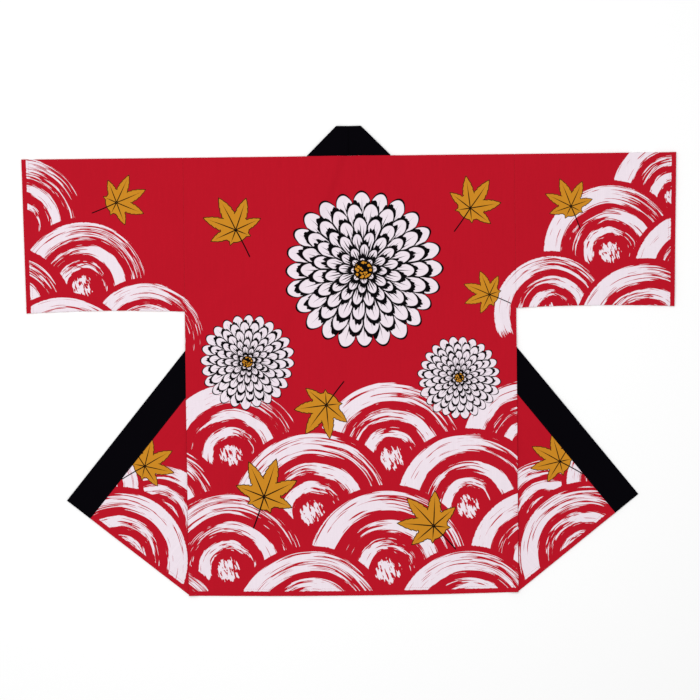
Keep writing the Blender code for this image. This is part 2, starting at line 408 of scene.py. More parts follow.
def makePiece(name, places, faces, cutPoints, reverse):
    # A mesh object from its faces. reverse marks those of the cloth's unprinted side.
    mesh = bpy.data.meshes.new(name)
    mesh.from_pydata(places, [], faces)
    mesh.validate()
    flat = mesh.uv_layers.new(name="cutPattern")
    flat.data.foreach_set("uv", cutPoints[cornerPoints(mesh)].astype(np.float32).ravel())
    mesh.polygons.foreach_set("material_index", np.array(reverse, dtype=np.int32))
    mesh.shade_smooth()
    return addObject(name, mesh)


def addValues(piece, name, values):
    # A value or a vector for each point of a piece, for its material to read.
    kind = "FLOAT" if np.ndim(values) == 1 else "FLOAT_VECTOR"
    layer = piece.data.attributes.new(name, kind, "POINT")
    key = "value" if kind == "FLOAT" else "vector"
    layer.data.foreach_set(key, np.asarray(values, np.float32).ravel())


# How a piece of cloth's picture is shared out over its OFBake map, in shares of its width and height.
picture = {
    "printed": 0.80,  # most of the width goes to the printed face
    "plainStart": 0.82,  # the reverse follows it, up to plainTop
    "plainTop": 0.84,
    "wallBottom": 0.87,  # and the walls of the edge stand above that, in cells
    "wallFill": 0.7,
    "wallSpread": 1.5,  # how many more columns than rows of cells there are
}


def layPicture(piece, points, faces, walls):
    # Gives each face its own place in that picture.
    low = points.min(axis=0)
    share = (points - low) / (points.max(axis=0) - low)
    printed = share * (picture["printed"], 1)
    plain = share * (picture["plainStart"] - 1, picture["plainTop"]) + (1, 0)
    columns = math.ceil(math.sqrt(walls * picture["wallSpread"]))
    cell = np.array((1 - picture["plainStart"], 1 - picture["wallBottom"]))
    cell /= (columns, math.ceil(walls / columns))
    place = np.column_stack((np.arange(walls) % columns, np.arange(walls) // columns)) * cell
    place += (picture["plainStart"], picture["wallBottom"])
    square = np.array(((0, 0), (1, 0), (1, 1), (0, 1))) * cell * picture["wallFill"]
    beside = place[:, None] + square
    corners = [printed[faces].reshape(-1, 2), plain[faces[:, ::-1]].reshape(-1, 2), beside.reshape(-1, 2)]
    layer = piece.data.uv_layers.new(name="OFBake", do_init=False)
    layer.data.foreach_set("uv", np.concatenate(corners).astype(np.float32).ravel())


def keepDistances(piece, fromHem, fromSeam):
    # How far each point is from a hem's edge and from a seam, for the print and for the pucker.
    addValues(piece, "fromHem", np.concatenate((fromHem, fromHem)))
    addValues(piece, "fromSeam", np.concatenate((fromSeam, fromSeam)))


def sewCloth(name, points, faces, place, edge, fromHem, fromSeam):
    # A piece of cloth with a printed and an unprinted face. edge is the distance to its own edge.
    relief = hemRelief(fromHem) + seamRelief(fromSeam)
    half = cloth["thickness"] / 2
    thick = softEdge(edge, half)
    middle = cut["clothSpace"] / 2 - half  # so that the printed face lies where the frame's does
    printed = place(points, middle + thick + relief)
    plain = place(points, middle - thick)
    count = len(points)
    rim = rimOf(faces)
    walls = np.column_stack((rim[:, 1], rim[:, 0], rim[:, 0] + count, rim[:, 1] + count))
    shell = [*faces.tolist(), *(faces[:, ::-1] + count).tolist(), *walls.tolist()]
    reverse = [0] * len(faces) + [1] * len(faces) + [0] * len(walls)
    places = np.concatenate((printed, plain))
    places[:, 2] += lift(places)
    piece = makePiece(name, places, shell, np.concatenate((points, points)), reverse)
    layPicture(piece, points, faces, len(walls))
    keepDistances(piece, fromHem, fromSeam)
    return piece


# What the hems and seams do to the face of the cloth.
sewing = {
    "edgeRows": (0.00035, 0.0013),
    "hem": 0.0135,  # from a hem's edge to its stitches
    "hemStep": 0.0014,
    "hemRise": 0.00028,
    "seamDip": 0.00030,
    "seamReach": 0.0016,
    "overrun": 0.03,  # how far a hem's rows run on past its ends, so that they meet the sides squarely
}

hemStepStart = sewing["hem"] - sewing["hemStep"] / 2
hemStepEnd = hemStepStart + sewing["hemStep"]


def seamRelief(distance):
    # Cloth dips into a seam.
    return -sewing["seamDip"] * (1 - smooth(0, sewing["seamReach"], distance))


def hemRelief(distance):
    # A hem is turned in twice, so its face stands a little higher.
    return sewing["hemRise"] * (1 - smooth(hemStepStart, hemStepEnd, distance))


def hemLines(path):
    # Where the face steps up to the turned hem.
    return [besidePath(path, hemStepStart), besidePath(path, hemStepEnd)]


def level(height):
    # A line across the right half at one height, a little longer than the coat is wide.
    return (-0.01, height), (1, height)


def foldLines(line):
    steps = cloth["foldSteps"]
    return [line.parallel(foldLength * step / steps) for step in range(steps + 1)]


sides = {"Right": 1, "Left": -1}  # the left pieces are mirrored

print("The back")


def placeBack(points, offset):
    # The back lies over both fronts, sinks to the table between them, and rolls over at the shoulder.
    x, y = points.T
    rise = bandPitch * overFlap(points) + intoBand(np.maximum(shoulder - y, x - cut["neckHalf"]))
    rise += (cut["bandSpace"] - cut["clothSpace"]) * overStrip(points)
    rolled = (y > rollStart) & (x > cut["neckHalf"])
    angle = np.where(rolled, (y - rollStart) / rollRadius, 0)
    reach = rollRadius + offset
    around = rise + rollRadius + cut["clothSpace"] / 2 + reach * np.cos(angle)
    flat = rise + layerPitch * settled(turn.past(points)) + cut["clothSpace"] / 2 + offset
    y = np.where(rolled, rollStart + reach * np.sin(angle), y)
    return np.column_stack((x, y, np.where(rolled, around, flat)))


def backHem(x):
    # The height of the back's hem, which hangs lowest in the middle.
    return hem - cut["hemDip"] * (1 - (x / cut["halfAtHem"]) ** 2)


def makeBack():
    hemPath = [(x, backHem(x)) for x in np.linspace(0, cut["halfAtHem"], 9)]
    side = cut["halfAtArmhole"]
    neck = cut["neckHalf"] + cut["layerGap"]
    sidePath = [hemPath[-1], (side, armpit), (side, rollEnd)]
    neckPath = [(neck, rollEnd), (neck, shoulder), (0, shoulder)]
    outline = [*hemPath, *sidePath[1:], *neckPath]
    # Paths run on past the middle, where the other half follows, and the hem's past the side.
    beyondHem = [(-hemPath[1][0], hemPath[1][1]), *hemPath]
    beyondNeck = [*neckPath, (-0.05, shoulder)]
    longHem = [*beyondHem, (hemPath[-1][0] + sewing["overrun"], hemPath[-1][1])]
    whole = [*beyondHem, *sidePath[1:], *beyondNeck]
    lines = [besidePath(whole, reach) for reach in sewing["edgeRows"]]
    lines += hemLines(longHem)
    for step in range(cloth["rollSteps"]):
        lines.append(level(rollStart + (rollEnd - rollStart) * step / cloth["rollSteps"]))
    points, triangles = meshPattern(outline, lines)
    points, triangles = bothHalves(points, triangles)
    half = onRight(points)
    edge = edgeDistance(whole, half)
    fromHem = edgeDistance(longHem, half)
    fromSeam = np.minimum(edgeDistance(sidePath, half), edgeDistance(beyondNeck[1:], half))
    place = acrossMiddle(placeBack)
    return sewCloth("coatBack", points, triangles, place, edge, fromHem, fromSeam)


back = makeBack()

print("The fronts")


def placeFront(points, offset):
    turned = turn.past(points) > 0
    rise = np.where(turned, bandPitch, bandPitch * overFlap(points))
    middle = cut["clothSpace"] / 2 + intoBand(collarSeam.past(points))
    return folded(turn, points, offset, rise + middle, middle)


def makeFronts():
    seam = collarSeam.right * -cloth["seamLap"]
    top = rollStart - cut["layerGap"]
    armholeAt = cut["halfAtArmhole"]
    hemPath = [(seamAtHem + seam[0], hem), (cut["halfAtHem"], hem)]
    sidePath = [hemPath[1], (armholeAt, armpit), (armholeAt, top)]
    seamPath = [sidePath[-1], (cut["neckHalf"] + seam[0], top), hemPath[0]]
    outline = [*hemPath, *sidePath[1:], seamPath[1]]
    closed = [*outline, outline[0], outline[1]]
    lines = [besidePath(closed, reach) for reach in sewing["edgeRows"]]
    longHem = [(hemPath[0][0] - sewing["overrun"], hem), (hemPath[1][0] + sewing["overrun"], hem)]
    lines += hemLines(longHem)
    lines += foldLines(turn)
    points, triangles = meshPattern(outline, lines)
    edge = edgeDistance(closed, points)
    fromHem = points[:, 1] - hem
    fromSeam = np.minimum(edgeDistance(sidePath, points), edgeDistance(seamPath, points))
    pieces = {}
    for side, mirror in sides.items():
        def place(half, offset):
            return placeFront(half * (mirror, 1), offset) * (mirror, 1, 1)
        across = points * (mirror, 1)
        faces = triangles[:, ::mirror]
        name = "front" + side
        pieces[name] = sewCloth(name, across, faces, place, edge, fromHem, fromSeam)
    return pieces


fronts = makeFronts()

print("The sleeves")

armhole = cut["halfAtArmhole"] + cloth["seamGap"]
sleeveLength = cuff - armhole


def placeSleeve(out, rise, angle, offset):
    # out is how far a point is from the armhole, rise how far up from the underarm as a share, and angle
    # how far it is turned over the shoulder, from 0 on the upper side to pi on the hidden one.
    part = out / sleeveLength
    centre = rollRadius + cut["clothSpace"] / 2
    foot = armpit + cut["sleeveArch"] * 4 * part * (1 - part) + centre
    reach = rollRadius + offset
    y = foot + (rollStart - foot) * rise + reach * np.sin(angle)
    z = centre + reach * np.cos(angle)
    lean = cut["cuffLean"] * (shoulder - y) / cut["sleeveDepth"]
    return np.column_stack((armhole + (sleeveLength - lean) * part, y, z))


def sleeveColumns():
    # How far each ring of points is from the armhole.
    length = sleeveLength
    columns = list(np.linspace(0, length, round(length / cloth["pitch"]) + 1))
    for near in (*sewing["edgeRows"], sewing["seamReach"] * 2):
        columns += [near, length - near]
    columns += [length - hemStepStart, length - hemStepEnd]
    return np.array(sorted(columns))


def sleeveRing():
    # One ring, from the underarm seam up the upper side, over the shoulder and down the hidden one.
    steps = np.linspace(0, 1, round((rollStart - armpit) / cloth["pitch"]) + 1)[1:-1]
    turns = np.linspace(0, math.pi, cloth["rollSteps"] + 1)
    seam = np.linspace(cloth["seamTurn"] - math.pi / 2, 0, 4)
    rise = np.concatenate((0 * seam, steps, 1 + 0 * turns, steps[::-1], 0 * seam))
    angle = np.concatenate((seam, 0 * steps, turns, 0 * steps + math.pi, math.pi - seam[::-1]))
    return rise, angle


def makeSleeves():
    columns = sleeveColumns()
    rise, angle = sleeveRing()
    around = len(rise)
    out = np.repeat(columns, around)
    rise = np.tile(rise, len(columns))
    angle = np.tile(angle, len(columns))
    ring = placeSleeve(out, rise, angle, 0)
    girth = np.concatenate(([0], np.cumsum(np.hypot(*np.diff(ring[:around, 1:], axis=0).T))))
    fromSeam = np.tile(np.minimum(girth, girth[-1] - girth), len(columns))
    fromSeam = np.minimum(fromSeam, out)
    fromHem = sleeveLength - out
    edge = np.minimum(fromSeam, fromHem)
    points = np.column_stack((ring[:, 0], armpit + np.tile(girth, len(columns))))
    starts = np.arange(len(columns) - 1)[:, None] * around
    here = (starts + np.arange(around - 1)).ravel()
    faces = np.column_stack((here, here + around, here + around + 1, here + 1))
    pieces = {}
    for side, mirror in sides.items():
        def place(_, offset):
            return placeSleeve(out, rise, angle, offset) * (mirror, 1, 1)
        across = points * (mirror, 1)
        name = "sleeve" + side
        pieces[name] = sewCloth(name, across, faces[:, ::mirror], place, edge, fromHem, fromSeam)
    return pieces


sleeves = makeSleeves()

print("The collar")

# The collar is one strip of black cotton folded lengthwise over itself.
band = {
    "half": 0.00085,  # half the thickness of the folded strip
    "slit": 0.00004,  # half the space between its two layers
    "edgeSteps": 6,
}


def placeCollar(points, offset):
    # The collar turns out with the front, and mitres over at the shoulder to cross the back neck.
    turned = turn.past(points) > 0
    rise = np.where(turned, bandPitch, bandPitch * overFlap(points))
    middle = cut["bandSpace"] / 2
    front = folded(turn, points, offset, rise + middle, middle)
    behind = folded(mitre, points, offset, middle, middle + bandPitch)
    flat = behind[:, :2]
    behind[:, 2] += bandPitch * (overFlap(flat) + settled(neckPoint[0] - flat[:, 0]) - 1)
    return np.where((mitre.past(points) > 0)[:, None], behind, front)


def collarPattern():
    # The flat band, with its free edge and its seam as paths on the right half.
    centre = mitreSum + foldLength / math.sqrt(2)
    neck, width = cut["neckHalf"], cut["collarWidth"]
    low, high = (seamAtHem - width, hem), (neck - width, centre)
    free = besidePath([low, neckPoint, high], -band["half"])
    free = [(free[0][0], hem), free[1], (free[2][0], centre)]
    seam = [(seamAtHem, hem), (neck, shoulder), (neck, centre)]
    outline = [free[0], *seam, free[2], free[1]]
    lines = [besidePath(free[::-1], reach) for reach in sewing["edgeRows"][1:]]
    lines += [besidePath(seam, reach) for reach in sewing["edgeRows"]]
    lines += [*foldLines(turn), *foldLines(mitre)]
    points, triangles = bothHalves(*meshPattern(outline, lines))
    return points, triangles, free, seam


def collarFaces(triangles, onFree, arc, count):
    # The faces of the band's four sheets, of the walls between them, and of the arc along the free edge.
    ring = np.cumsum(onFree) - 1
    faces = []
    for sheet, way in ((0, 1), (1, -1), (2, 1), (3, -1)):
        faces += (triangles[:, ::way] + sheet * count).tolist()
    for i, j in rimOf(triangles).tolist():
        if onFree[i] and onFree[j]:
            for near, far in zip(arc, arc[1:]):
                quad = (near[ring[j]], near[ring[i]], far[ring[i]], far[ring[j]])
                faces.append([int(corner) for corner in quad])
            faces.append((i + count, j + count, j + 2 * count, i + 2 * count))
        else:
            faces.append((j, i, i + count, j + count))
            faces.append((j + 2 * count, i + 2 * count, i + 3 * count, j + 3 * count))
    return faces


def makeCollar():
    points, triangles, free, seam = collarPattern()
    count = len(points)
    half = onRight(points)
    fromSeam = edgeDistance(seam, half)
    thick = softEdge(np.minimum(fromSeam, half[:, 1] - hem), band["half"])
    relief = seamRelief(fromSeam)
    place = acrossMiddle(placeCollar)
    # Four sheets of points: the upper outer face, the two faces that meet inside, and the lower one.
    slit = np.full(count, band["slit"])
    layers = [place(points, thick + relief), place(points, slit)]
    layers += [place(points, -slit), place(points, -thick - relief)]
    # The free edge is the fold of the strip, so steps of an arc join its two outer faces.
    onFree = edgeDistance(free, half) < 1e-6
    slant = np.array(besidePath(free[:2], 1)[0]) - free[0]
    outward = np.where((half[:, 1] < shoulder)[:, None], slant, (-1, 0))
    outward[points[:, 0] < 0, 0] *= -1
    index = np.flatnonzero(onFree)
    arc = [index]
    for step in range(1, band["edgeSteps"]):
        angle = math.pi * step / band["edgeSteps"]
        out = points[index] + outward[index] * band["half"] * math.sin(angle)
        arc.append(sum(len(layer) for layer in layers) + np.arange(len(index)))
        layers.append(place(out, thick[index] * math.cos(angle)))
    arc.append(index + 3 * count)
    faces = collarFaces(triangles, onFree, arc, count)
    places = np.concatenate(layers)
    places[:, 2] += lift(places)
    steps = band["edgeSteps"] - 1
    cutPoints = np.concatenate([points] * 4 + [points[index]] * steps)
    piece = makePiece("collarBand", places, faces, cutPoints, [0] * len(faces))
    addValues(piece, "fromSeam", np.concatenate([fromSeam] * 4 + [fromSeam[index]] * steps))
    addValues(piece, "fromHem", np.full(len(places), farAway))
    return piece


collar = makeCollar()


class Value:
    # A value in a node tree, so that sums on values can be written as sums.
    def __init__(self, net, socket):
        self.net = net
        self.socket = socket

    def __add__(self, other):
        return self.net.sum("ADD", self, other)

    def __radd__(self, other):
        return self.net.sum("ADD", other, self)

    def __sub__(self, other):
        return self.net.sum("SUBTRACT", self, other)

    def __rsub__(self, other):
        return self.net.sum("SUBTRACT", other, self)

    def __mul__(self, other):
        return self.net.sum("MULTIPLY", self, other)

    def __rmul__(self, other):
        return self.net.sum("MULTIPLY", other, self)

    def __truediv__(self, other):
        return self.net.sum("DIVIDE", self, other)

    def __pow__(self, other):
        return self.net.sum("POWER", self, other)


class Net:
    # Writes nodes into a tree. An input is a value from another node or a constant.
    def __init__(self, tree):
        self.tree = tree

    def feed(self, socket, value):
        if isinstance(value, Value):
            self.tree.links.new(value.socket, socket)
        else:
            socket.default_value = value

    def node(self, kind, inputs=None, **settings):
        node = self.tree.nodes.new(kind)
        for name, value in settings.items():
            setattr(node, name, value)
        for name, value in (inputs or {}).items():
            self.feed(node.inputs[name], value)
        return node

    def value(self, kind, inputs=None, output=0, **settings):
        return Value(self, self.node(kind, inputs, **settings).outputs[output])

    def sum(self, operation, *values):
        return self.value("ShaderNodeMath", dict(enumerate(values)), operation=operation)

    def lowest(self, first, second):
        return self.sum("MINIMUM", first, second)

    def highest(self, first, second):
        return self.sum("MAXIMUM", first, second)

    def absolute(self, value):
        return self.sum("ABSOLUTE", value)

    def length(self, p, q):
        return self.sum("SQRT", p * p + q * q)

    def angle(self, p, q):
        # In radians, from straight up.
        return self.sum("ARCTAN2", p, q)

    def step(self, low, high, value):
        # 0 below low and 1 above high, with a soft change between them.
        inputs = {"Value": value, "From Min": low, "From Max": high}
        return self.value("ShaderNodeMapRange", inputs, "Result", interpolation_type="SMOOTHSTEP")

    def apart(self, vector):
        node = self.node("ShaderNodeSeparateXYZ", {"Vector": vector})
        return [Value(self, socket) for socket in node.outputs]

    def joined(self, x, y, z=0.0):
        return self.value("ShaderNodeCombineXYZ", {"X": x, "Y": y, "Z": z})

    def noise(self, x, y, z=0.0, detail=1.0):
        inputs = {"Vector": self.joined(x, y, z), "Scale": 1.0, "Detail": detail}
        return self.value("ShaderNodeTexNoise", inputs, "Fac")

    def chance(self, x, y, z):
        inputs = {"Vector": self.joined(x, y, z)}
        return self.value("ShaderNodeTexWhiteNoise", inputs, "Value", noise_dimensions="3D")

    def attribute(self, name, output="Vector"):
        return self.value("ShaderNodeAttribute", None, output, attribute_name=name)

    def colour(self, share, first, second):
        # A colour that goes from first to second.
        return self.value("ShaderNodeMix", {0: share, 6: first, 7: second}, 2, data_type="RGBA")

    def group(self, tree, inputs):
        node = self.node("ShaderNodeGroup", inputs, node_tree=tree)
        return {socket.name: Value(self, socket) for socket in node.outputs}


socketKinds = {
    "value": "NodeSocketFloat",
    "whole": "NodeSocketInt",
    "vector": "NodeSocketVector",
    "shape": "NodeSocketGeometry",
    "material": "NodeSocketMaterial",
}


def nodeTree(name, inputs, outputs, build, kind="ShaderNodeTree"):
    # A tree with named sockets. build takes its inputs by name and gives back its outputs by name.
    tree = bpy.data.node_groups.new(name, kind)
    for way, sockets in (("INPUT", inputs), ("OUTPUT", outputs)):
        for socket, holds in sockets.items():
            tree.interface.new_socket(socket, in_out=way, socket_type=socketKinds[holds])
    net = Net(tree)
    start = net.node("NodeGroupInput")
    made = build(net, {socket: Value(net, start.outputs[socket]) for socket in inputs})
    net.node("NodeGroupOutput", made)
    return tree


print("Print effects")

discEdge = (0.99, 0.999)  # a bloom or leaf shows from here, in what motifPlaces gives as inside

# A wave is a fan of rings, each laid down with one pull of a wide brush that runs dry.
waveInk = {
    "rings": ((0.00, 0.160), (0.242, 0.398), (0.456, 0.634), (0.692, 0.985)),
    "margin": 0.0047,  # bare cloth left beside a wave's edge
    "tear": 0.006,  # how far that margin's ragged edge wanders
    "tearRate": 26.0,  # and how often, as each rate here
    "wobble": 0.05,  # how far a ring wanders from a true circle
    "wobbleRate": 1.3,
    "ragged": 0.035,  # and its two edges from it
    "raggedRate": 4.6,
    "soft": 0.003,  # half the width of a ring's soft edge
    "bristles": 30.0,
    "fineBristles": 95.0,
    "fineShare": 0.42,
    "pull": 0.9,  # how fast bristle marks change along the pull
    "finePull": 2.6,
    "wet": 0.362,  # bristle marks under this leave bare cloth where a pull starts
    "dry": 0.23,  # and the limit is this much higher where it ends
    "pullSpan": (-1.6, 1.9),  # the angles from the top between which a pull dries
    "swing": 2.2,
    "swingRate": 0.8,
    "fray": 0.13,  # how much more easily a pull breaks up near its two edges
    "frayReach": 0.05,
    "foot": (1.7, 2.4),  # a ring ends between these angles from its top
}


def waveBrush(net, inputs):
    p, q, seed = net.apart(inputs["Place"])
    radius = net.length(p, q)
    angle = net.angle(p, q)
    aside, ahead = p / radius, q / radius
    rate = waveInk["wobbleRate"]
    wobble = net.noise(aside * rate, ahead * rate, seed * 3.7) - 0.5
    radius = radius + wobble * waveInk["wobble"]
    marks = net.noise(radius * waveInk["bristles"], angle * waveInk["pull"], seed * 5.3, 2.0)
    fine = net.noise(radius * waveInk["fineBristles"], angle * waveInk["finePull"], seed * 9.1)
    bristle = marks * (1 - waveInk["fineShare"]) + fine * waveInk["fineShare"]
    dab = net.noise(p * 36.0 + q * 14.0, q * 9.0 - p * 6.0, seed * 5.3, 2.0)
    ink = 0.0
    for i, (inner, outer) in enumerate(waveInk["rings"]):
        rate = waveInk["raggedRate"]
        ragged = net.noise(aside * rate, ahead * rate, seed * 2.3 + i * 7.0, 2.0) - 0.5
        rough = radius + ragged * waveInk["ragged"]
        inside = net.step(outer + waveInk["soft"], outer - waveInk["soft"], rough)
        depth = outer - rough
        wet, pulled = dab, p * 6.0
        if inner:
            inside = inside * net.step(inner - waveInk["soft"], inner + waveInk["soft"], rough)
            depth = net.lowest(depth, rough - inner)
            wet, pulled = bristle, angle * (1.0 if i % 2 else -1.0)
        # Each pull starts wet on one side and runs dry towards the other.
        swing = net.noise(seed * 1.9, i * 3.1, angle * waveInk["swingRate"]) - 0.5
        dry = net.step(*waveInk["pullSpan"], pulled + swing * waveInk["swing"])
        limit = dry * waveInk["dry"] + waveInk["wet"]
        limit = limit + net.step(waveInk["frayReach"], 0.0, depth) * waveInk["fray"]
        if inner:
            limit = limit + net.step(*waveInk["foot"], net.absolute(angle)) * 0.5
        ink = net.highest(inside * net.step(limit - 0.008, limit + 0.012, wet), ink)
    torn = net.noise(p * waveInk["tearRate"], q * waveInk["tearRate"], seed, 3.0) - 0.5
    margin = waveInk["margin"]
    edge = inputs["Edge"] + net.lowest(torn * waveInk["tear"], 0.0)
    return {"Ink": ink * net.step(margin, margin + 0.0006, edge)}


# A chrysanthemum is drawn with a brush pen, ring by ring from the outermost in.
bloomInk = {
    "rings": (  # how far out a ring reaches, its petals, its turn in petals, and its tips' length
        (1.00, 24, 0.00, 0.16),
        (0.84, 22, 0.50, 0.16),
        (0.67, 19, 0.25, 0.15),
        (0.50, 16, 0.60, 0.14),
        (0.35, 12, 0.10, 0.12),
        (0.21, 8, 0.40, 0.08),
    ),
    "uneven": 0.050,  # how much shorter a petal may be than its ring
    "shake": 0.028,  # how far the pen strays
    "shakeRate": 5.0,
    "line": 0.0175,
    "vein": 0.0085,
    "veins": ((0.0, 0.95), (0.5, 0.86)),  # how far each is from a petal's middle, and how far out it goes
    "shade": 0.125,  # how far a petal's hatched shade reaches
    "shadeShare": 0.72,
    "hatch": 130.0,
    "hatchShare": 0.85,
    "hatchEdge": (0.10, 0.14),
    "heart": 0.125,
    "heartRim": 0.022,
    "dots": 26.0,
    "dotEdge": (0.44, 0.50),
}


def bloom(net, inputs):
    p, q, inside = net.apart(inputs["Place"])
    shaken = net.noise(p * bloomInk["shakeRate"], q * bloomInk["shakeRate"], 4.0, 2.0) - 0.5
    p = p + shaken * bloomInk["shake"]
    radius = net.length(p, q)
    angle = net.angle(p, q) / (2 * math.pi)
    line = bloomInk["line"]
    petal, drawn = 0.0, 0.0
    for i, (outer, petals, turning, tip) in enumerate(bloomInk["rings"]):
        turned = angle * petals + (turning + 40)
        number = net.sum("FLOOR", net.sum("FLOORED_MODULO", turned, petals))
        across = net.absolute(net.sum("FRACT", turned) - 0.5) * 2.0
        length = net.chance(number, i * 1.7, 0.3) * -bloomInk["uneven"] + outer
        square = across * across
        arch = net.sum("SQRT", net.highest(1.0 - square, 0.0))
        limit = length - (square + 1.0 - arch) * 0.5 * tip
        within = net.step(limit + line * 0.15, limit - line * 0.15, radius)
        halfWidth = math.pi / petals
        width = net.noise(radius * 9.0, number, i * 2.0) * line + line * 0.35
        stroke = net.step(width, width * 0.6, (1.0 - across) * radius * halfWidth)
        stroke = net.highest(stroke, net.step(limit - line * 1.25, limit - line * 0.8, radius))
        share = radius / length
        for lane, reach in bloomInk["veins"]:
            thin = bloomInk["vein"] * net.step(reach, reach - 0.28, share)
            vein = net.step(thin, thin * 0.5, net.absolute(across - lane) * radius * halfWidth)
            stroke = net.highest(stroke, vein)
        if i:
            # The petals of each ring throw a hatched shade on the ring that they lie over.
            hatch = net.noise(angle * bloomInk["hatch"], radius * 5.0, i * 4.0)
            depth = net.step(limit + bloomInk["shade"], limit, radius)
            shade = depth * bloomInk["shadeShare"] - hatch * bloomInk["hatchShare"]
            marks = net.step(*bloomInk["hatchEdge"], shade)
            drawn = net.highest(drawn, marks * petal)
            drawn = drawn * (1.0 - within) + stroke * within
        else:
            drawn = stroke * net.step(limit + line * 0.55, limit + line * 0.35, radius)
        petal = net.highest(petal, within)
    heart = net.step(bloomInk["heart"], bloomInk["heart"] - 0.006, radius)
    cells = {"Vector": net.joined(p, q), "Scale": bloomInk["dots"]}
    dots = net.step(*bloomInk["dotEdge"], net.value("ShaderNodeTexVoronoi", cells, "Distance"))
    rim = bloomInk["heart"] - bloomInk["heartRim"]
    rimmed = net.step(rim, rim + 0.006, radius)
    drawn = drawn * (1.0 - heart) + net.highest(dots, rimmed) * heart
    shown = net.step(*discEdge, inside)
    return {"Petal": petal * shown, "Line": drawn * shown, "Heart": heart * shown}


# A maple leaf is the same on both sides of its middle blade.
leafInk = {
    "blades": (  # degrees from the middle, length and width
        (0, 1.00, 0.70),
        (44, 0.94, 0.70),
        (90, 0.76, 0.74),
        (136, 0.46, 0.80),
    ),
    "bend": 0.06,
    "roundness": 0.8,  # the lower it is, the nearer to the stem a blade is widest
    "line": 0.026,
    "vein": 0.018,
    "teeth": 7.0,
    "toothDepth": 0.13,
    "web": 0.40,  # how far out the blades are joined
    "webUp": 0.06,
    "stem": 0.020,
    "stemReach": 0.84,
    "stemLean": 0.10,
}


def leaf(net, inputs):
    p, q, inside = net.apart(inputs["Place"])
    p = p + q * q * leafInk["bend"]
    side = net.absolute(p)
    inward = leafInk["web"] - net.length(p, q - leafInk["webUp"])
    veins = 0.0
    for degrees, length, width in leafInk["blades"]:
        turning = math.radians(degrees)
        along = (side * math.sin(turning) + q * math.cos(turning)) / length
        off = net.absolute(side * math.cos(turning) - q * math.sin(turning))
        share = net.lowest(net.highest(along, 0.0), 1.0)
        blade = share ** leafInk["roundness"] * (1.0 - share) * (width * length)
        tooth = net.sum("FRACT", share * leafInk["teeth"]) * leafInk["toothDepth"]
        inward = net.highest(blade * (1.0 - tooth) - 0.006 - off, inward)
        vein = leafInk["vein"] * net.step(0.90, 0.25, along) * net.step(0.0, 0.03, along)
        veins = net.highest(net.step(vein, vein * 0.6, off), veins)
    within = net.step(-0.003, 0.003, inward)
    drawn = net.highest(net.step(leafInk["line"], leafInk["line"] * 0.75, inward), veins) * within
    reach = leafInk["stemReach"]
    stem = net.step(leafInk["stem"], leafInk["stem"] * 0.7, net.absolute(p + q * leafInk["stemLean"]))
    stem = stem * net.step(0.0, -0.02, q) * net.step(-reach, -reach + 0.04, q)
    shown = net.step(*discEdge, inside)
    return {"Leaf": within * shown, "Line": net.highest(drawn, stem) * shown}


yarns = {
    "count": 1500,  # marks to the metre across the yarns, and along them
    "run": 55,
    "slub": (240, 14),
    "cloud": 9,
    "yarnHeight": 0.4,
    "slubHeight": 0.2,
    "yarnTone": 0.10,  # how much each changes the colour's brightness
    "slubTone": 0.09,
    "cloudTone": 0.05,
    "puckerReach": 0.016,  # how far a seam gathers the cloth
    "puckerCount": 95.0,
    "puckerHeight": 5.4,
}


def weave(net, inputs):
    # Plain weave with uneven yarns, from the cloth's own layout in metres, and the pucker along a seam.
    u, v, _ = net.apart(inputs["Layout"])
    slubAcross, slubAlong = yarns["slub"]
    warp = net.noise(u * yarns["count"], v * yarns["run"])
    weft = net.noise(u * yarns["run"], v * yarns["count"], 7.0)
    slub = net.noise(u * slubAcross, v * slubAlong, 3.0, 2.0)
    cloudy = net.noise(u * yarns["cloud"], v * yarns["cloud"], 5.0, 2.0)
    gathers = net.noise(u * yarns["puckerCount"], v * yarns["puckerCount"], 9.0)
    near = net.step(yarns["puckerReach"], 0.0, inputs["Seam"])
    height = (warp + weft) * yarns["yarnHeight"] + slub * yarns["slubHeight"]
    height = height + gathers * near * yarns["puckerHeight"]
    tone = (warp + weft - 1.0) * yarns["yarnTone"] + (slub - 0.5) * yarns["slubTone"]
    tone = tone + (cloudy - 0.5) * yarns["cloudTone"] + 1.0
    return {"Height": height, "Tone": tone}


waveGroup = nodeTree("waveBrush", {"Place": "vector", "Edge": "value"}, {"Ink": "value"}, waveBrush)
bloomMasks = {"Petal": "value", "Line": "value", "Heart": "value"}
bloomGroup = nodeTree("bloom", {"Place": "vector"}, bloomMasks, bloom)
leafGroup = nodeTree("mapleLeaf", {"Place": "vector"}, {"Leaf": "value", "Line": "value"}, leaf)
weaveInputs = {"Layout": "vector", "Seam": "value"}
weaveGroup = nodeTree("plainWeave", weaveInputs, {"Height": "value", "Tone": "value"}, weave)

print("The print's layout")

